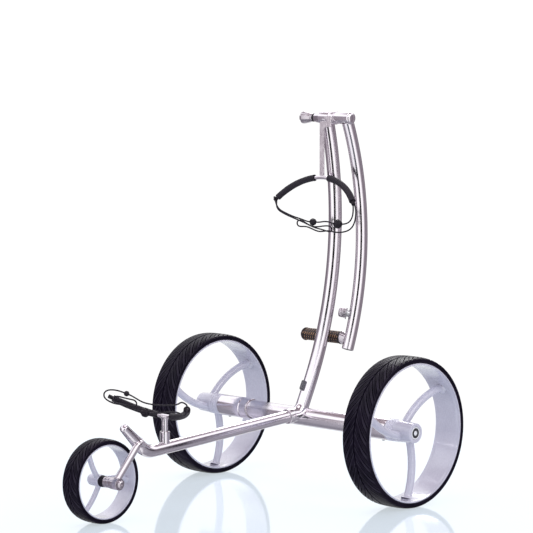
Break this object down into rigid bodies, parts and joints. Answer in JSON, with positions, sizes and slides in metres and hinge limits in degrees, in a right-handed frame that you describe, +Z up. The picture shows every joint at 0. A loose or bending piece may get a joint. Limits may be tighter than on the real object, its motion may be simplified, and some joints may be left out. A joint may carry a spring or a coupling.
{
  "type": "electric golf trolley",
  "caption": "Three-wheeled electric golf trolley in polished steel tube with white spoked wheels, padded bag cradles with elastic cords, and a folding handle shown folded down",
  "frame": {"origin": "on the ground, under the middle of the trolley's bounding box", "axes": "+Z up, -Y towards the front wheel, +X the trolley's left"},
  "size_m": [0.606, 0.752, 0.7775],
  "materials": {
    "polished_steel": "polished",
    "dark_steel": "satin",
    "tyre_rubber": "matte",
    "foam": "matte, fine-celled",
    "moulded_rubber": "matte",
    "white_paint": "satin",
    "white_plastic": "gloss",
    "black_plastic": "matte",
    "motor": "machined",
    "gearbox": "machined",
    "board": "satin",
    "leather": "braided",
    "elastic_cord": "woven"
  },
  "bodies": {
    "frame": {"axle_tube": "polished_steel", "controller_board": "board", "left_motor_housing": "polished_steel", "right_motor_housing": "polished_steel", "left_axle_screw": "dark_steel", "right_axle_screw": "dark_steel", "left_motor": "motor", "right_motor": "motor", "left_gearbox": "gearbox", "right_gearbox": "gearbox", "left_shaft_bearing": "dark_steel", "right_shaft_bearing": "dark_steel", "stem_tube": "polished_steel", "socket_collar": "polished_steel", "battery_socket": "black_plastic", "stem_barrel": "polished_steel", "hinge_washer": "moulded_rubber", "hinge_bolt": "dark_steel"},
    "left_shaft": {"left_drive_shaft": "dark_steel"},
    "right_shaft": {"right_drive_shaft": "dark_steel"},
    "left_wheel": {"left_tyre": "tyre_rubber", "left_rim": "white_paint"},
    "right_wheel": {"right_tyre": "tyre_rubber", "right_rim": "white_paint"},
    "left_button": {"left_release_button": "white_plastic"},
    "right_button": {"right_release_button": "white_plastic"},
    "lock_button": {"lock_button": "polished_steel"},
    "front_frame": {"front_tube": "polished_steel", "nose_cap": "polished_steel", "front_spigot": "dark_steel", "fork_arm": "polished_steel", "front_axle": "polished_steel", "front_spacer": "polished_steel", "lower_bracket_nut": "polished_steel"},
    "front_wheel": {"front_tyre": "tyre_rubber", "front_rim": "white_paint", "front_bearing": "dark_steel", "front_seal": "moulded_rubber"},
    "lower_cradle": {"lower_cradle": "polished_steel", "lower_pad_left": "foam", "lower_pad_right": "foam", "lower_bungee": "elastic_cord", "lower_toggle_large": "moulded_rubber", "lower_toggle_small": "moulded_rubber"},
    "upper_cradle": {"upper_cradle": "polished_steel", "upper_bracket_arm": "polished_steel", "upper_pad_left": "foam", "upper_pad_right": "foam", "upper_bungee": "elastic_cord", "upper_toggle_large": "moulded_rubber", "upper_toggle_small": "moulded_rubber"},
    "handle": {"handle_barrel": "polished_steel", "handle_tube": "polished_steel", "handle_end_plug": "black_plastic", "grip_core": "polished_steel", "grip_sleeve": "leather", "grip_end_cap": "polished_steel", "dial_base": "dark_steel"},
    "speed_dial": {"speed_dial": "polished_steel"},
    "clamp_knob": {"clamp_knob": "polished_steel"}
  },
  "joints": [
    {"name": "left_shaft_spin", "type": "hinge", "parent": "frame", "child": "left_shaft", "pos_m": [0.235, 0.226, 0.15], "axis": [1, 0, 0], "continuous": true},
    {"name": "right_shaft_spin", "type": "hinge", "parent": "frame", "child": "right_shaft", "pos_m": [-0.235, 0.226, 0.15], "axis": [1, 0, 0], "continuous": true},
    {"name": "left_wheel_pull", "type": "slide", "parent": "left_shaft", "child": "left_wheel", "axis": [1, 0, 0], "range_m": [0, 0.06]},
    {"name": "right_wheel_pull", "type": "slide", "parent": "right_shaft", "child": "right_wheel", "axis": [-1, 0, 0], "range_m": [0, 0.06]},
    {"name": "left_button_press", "type": "slide", "parent": "left_wheel", "child": "left_button", "axis": [-1, 0, 0], "range_m": [0, 0.0025], "stiffness_N_per_m": 600},
    {"name": "right_button_press", "type": "slide", "parent": "right_wheel", "child": "right_button", "axis": [1, 0, 0], "range_m": [0, 0.0025], "stiffness_N_per_m": 600},
    {"name": "lock_button_pull", "type": "slide", "parent": "frame", "child": "lock_button", "axis": [1, 0, 0], "range_m": [0, 0.003], "stiffness_N_per_m": 400},
    {"name": "front_frame_pull", "type": "slide", "parent": "frame", "child": "front_frame", "axis": [0, -0.998, -0.0628], "range_m": [0, 0.05]},
    {"name": "front_wheel_spin", "type": "hinge", "parent": "front_frame", "child": "front_wheel", "pos_m": [-0.042, -0.295, 0.081], "axis": [1, 0, 0], "continuous": true},
    {"name": "lower_cradle_swivel", "type": "hinge", "parent": "front_frame", "child": "lower_cradle", "pos_m": [0, -0.167, 0.1957], "axis": [0, 0, 1], "range_deg": [-90, 90]},
    {"name": "upper_cradle_swing", "type": "hinge", "parent": "frame", "child": "upper_cradle", "pos_m": [0.0195, 0.293, 0.764], "axis": [-1, 0, 0], "range_deg": [0, 100]},
    {"name": "handle_fold", "type": "hinge", "parent": "frame", "child": "handle", "pos_m": [0.055, 0.293, 0.764], "axis": [1, 0, 0], "range_deg": [0, 180]},
    {"name": "clamp_knob_turn", "type": "hinge", "parent": "frame", "child": "clamp_knob", "pos_m": [-0.05, 0.293, 0.764], "axis": [1, 0, 0], "range_deg": [0, 360]},
    {"name": "speed_dial_turn", "type": "hinge", "parent": "handle", "child": "speed_dial", "pos_m": [0.03415, 0.31485, 0.36041], "axis": [-0.7159, -0.6747, 0.1795], "range_deg": [0, 270]}
  ]
}
